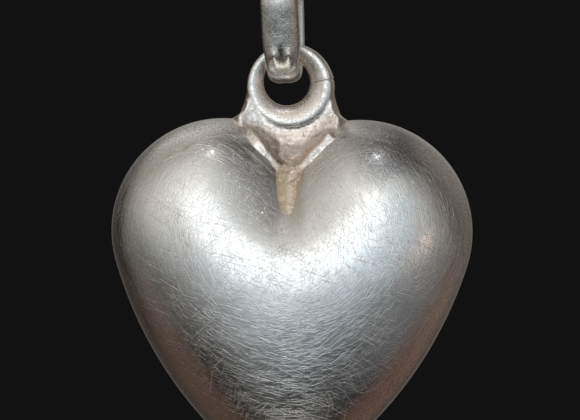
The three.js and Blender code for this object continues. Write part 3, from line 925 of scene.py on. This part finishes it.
def bearing(azimuth, elevation):
    """Direction from the heart: azimuth 0 is in front, 90 on the right."""
    a, e = math.radians(azimuth), math.radians(elevation)
    return Vector((math.sin(a) * math.cos(e), -math.cos(a) * math.cos(e), math.sin(e)))


def facing(way):
    """Turn of a lamp or a camera that looks back along a direction."""
    return (-way).to_track_quat("-Z", "Y")


def small_lamp():
    """A small square lamp in front of the heart and above it, as bright as a surface of its radiance."""
    light = bpy.data.lights.new("lamp", "AREA")
    light.shape = "RECTANGLE"
    light.size = light.size_y = LAMP_SIZE * MM
    light.energy = LAMP_RADIANCE * math.pi * (LAMP_SIZE * MM) ** 2
    lamp = bpy.data.objects.new("lamp", light)
    way = bearing(0, LAMP_ELEVATION)
    lamp.location = (Vector((middle_x, 0, lobe_row - LAMP_AIM_BELOW_LOBES)) + way * LAMP_DISTANCE) * MM
    lamp.rotation_euler = facing(way).to_euler()
    lamp.visible_camera = False
    bpy.context.collection.objects.link(lamp)


class Room(Nodes):
    """World light painted by direction, as soft round zones in a dark room. The camera sees plain dark."""

    def __init__(self, dark):
        world = bpy.data.worlds.new("room")
        world.use_nodes = True
        super().__init__(world.node_tree)
        self.way = self.add("ShaderNodeTexCoord").outputs["Generated"]
        self.light = self.dark = (*dark, 1)
        bpy.context.scene.world = world

    def nearness(self, azimuth, elevation):
        """Cosine of the angle to a bearing."""
        inputs = {0: self.way, 1: bearing(azimuth, elevation)}
        return self.add("ShaderNodeVectorMath", inputs, operation="DOT_PRODUCT").outputs["Value"]

    def within(self, azimuth, elevation, inner, outer, most=1.0):
        """The most inside an angle from a bearing, fading to 0 at another angle."""
        low, high = math.cos(math.radians(outer)), math.cos(math.radians(inner))
        return self.ramp(self.nearness(azimuth, elevation), low, high, 0.0, most)

    def zone(self, azimuth, elevation, inner, outer, brightness, colour, above=None):
        """Adds light inside an angle from a bearing, fading out to another; above limits it by elevation."""
        share = self.within(azimuth, elevation, inner, outer)
        if above:
            low, high = (math.sin(math.radians(a)) for a in above)
            share = self.times(share, self.ramp(self.nearness(0, 90), low, high))
        lit = (*(brightness * c for c in colour), 1)
        self.light = self.mix(share, self.light, lit, "ADD")

    def shade(self, azimuth, elevation, inner, outer, share):
        """Takes a share of the light away inside an angle from a bearing, as a dark card would."""
        self.light = self.mix(self.within(azimuth, elevation, inner, outer, share), self.light, self.dark)

    def finish(self):
        seen = self.add("ShaderNodeLightPath").outputs["Is Camera Ray"]
        self.feed(self.tree.nodes["Background"].inputs["Color"], self.mix(seen, self.light, self.dark))


def light_room():
    room = Room(DARK_ROOM)
    # In front
    room.zone(-6, 17, 4, 23, 0.86, (1.0, 0.98, 0.96))
    room.zone(3, 4, 6, 36, 0.34, (0.30, 0.70, 1.0), above=(-34, 8))
    room.zone(0, 10, 10, 72, 0.54, (0.95, 0.98, 1.0), above=(-34, 5))
    # At the sides
    room.zone(-55, 54, 24, 62, 0.33, (1.0, 0.93, 0.82))
    room.zone(-72, -2, 10, 42, 0.18, (1.0, 1.0, 0.92), above=(-40, -5))
    room.zone(95, 12, 35, 72, 0.115, (1.0, 0.87, 0.74), above=(-45, -10))
    room.zone(62, -14, 8, 34, 0.12, (0.78, 0.90, 1.0))
    # Rosy and low at the sides, faint and low in front
    room.zone(-92, -42, 12, 32, 0.08, (1.0, 0.58, 0.40))
    room.zone(112, -44, 14, 34, 0.10, (1.0, 0.55, 0.40))
    room.zone(0, -38, 14, 50, 0.055, (1.0, 0.97, 0.94))
    # Behind, for the heart's back
    room.zone(180, 30, 35, 80, 0.12, (1.0, 0.96, 0.90), above=(-5, 30))
    room.zone(-150, 60, 4, 34, 0.26, (1.0, 0.98, 0.95))
    room.zone(180, -25, 25, 75, 0.06, (1.0, 0.80, 0.66))
    room.zone(180, 27, 8, 31, 0.16, (1.0, 0.98, 0.95))
    room.zone(180, 0, 8, 32, 0.10, (1.0, 0.97, 0.94))
    # Bright from below
    room.zone(0, -66, 6, 23, 0.95, (1.0, 0.95, 0.87))
    # Dark cards, and two rosy spots that the lobes mirror
    room.shade(46, 66, 10, 36, 0.45)
    room.shade(0, -18, 8, 26, 0.36)
    room.shade(-26, 10, 2, 11, 0.5)
    room.zone(-26, 10, 3, 8, 0.15, (1.0, 0.50, 0.28))
    room.zone(49, -2, 4, 8, 0.55, (1.0, 0.62, 0.42))
    room.finish()


def lay_floor():
    edge = arc((0, 0), FLOOR_RADIUS, 0, 2 * math.pi, FLOOR_SIDES)[1:]
    edge = np.insert(edge, 2, tip_level - FLOOR_BELOW_TIP, axis=1)
    floor = mesh_object("floor", edge, [list(range(len(edge)))])
    floor.data.materials.append(floor_paint())
    floor.visible_glossy = False


small_lamp()
light_room()
lay_floor()

# Camera, where the photograph was taken from

CAMERA_AZIMUTH = 5  # degrees
CAMERA_ROLL = 0.9  # degrees
CAMERA_DISTANCE = 170
CAMERA_AIM = (-0.1, 1.16)  # aside of the heart's middle and above the lobe row
PIXELS_PER_MM = 18.1
IMAGE_WIDTH = 580  # pixels
SENSOR_WIDTH = 36
CLIP_NEAR, CLIP_FAR = 5, 5000


def place_camera():
    data = bpy.data.cameras.new("camera")
    data.sensor_width = SENSOR_WIDTH
    data.lens = PIXELS_PER_MM * CAMERA_DISTANCE / IMAGE_WIDTH * SENSOR_WIDTH
    data.clip_start, data.clip_end = CLIP_NEAR * MM, CLIP_FAR * MM
    camera = bpy.data.objects.new("camera", data)
    aim = Vector((middle_x + CAMERA_AIM[0], 0, lobe_row + CAMERA_AIM[1]))
    way = bearing(CAMERA_AZIMUTH, 0)
    camera.location = (aim + way * CAMERA_DISTANCE) * MM
    roll = Matrix.Rotation(math.radians(CAMERA_ROLL), 3, "Z")
    camera.rotation_euler = (facing(way).to_matrix() @ roll).to_euler()
    bpy.context.collection.objects.link(camera)
    bpy.context.scene.camera = camera


place_camera()
bpy.context.scene.view_settings.view_transform = "Standard"
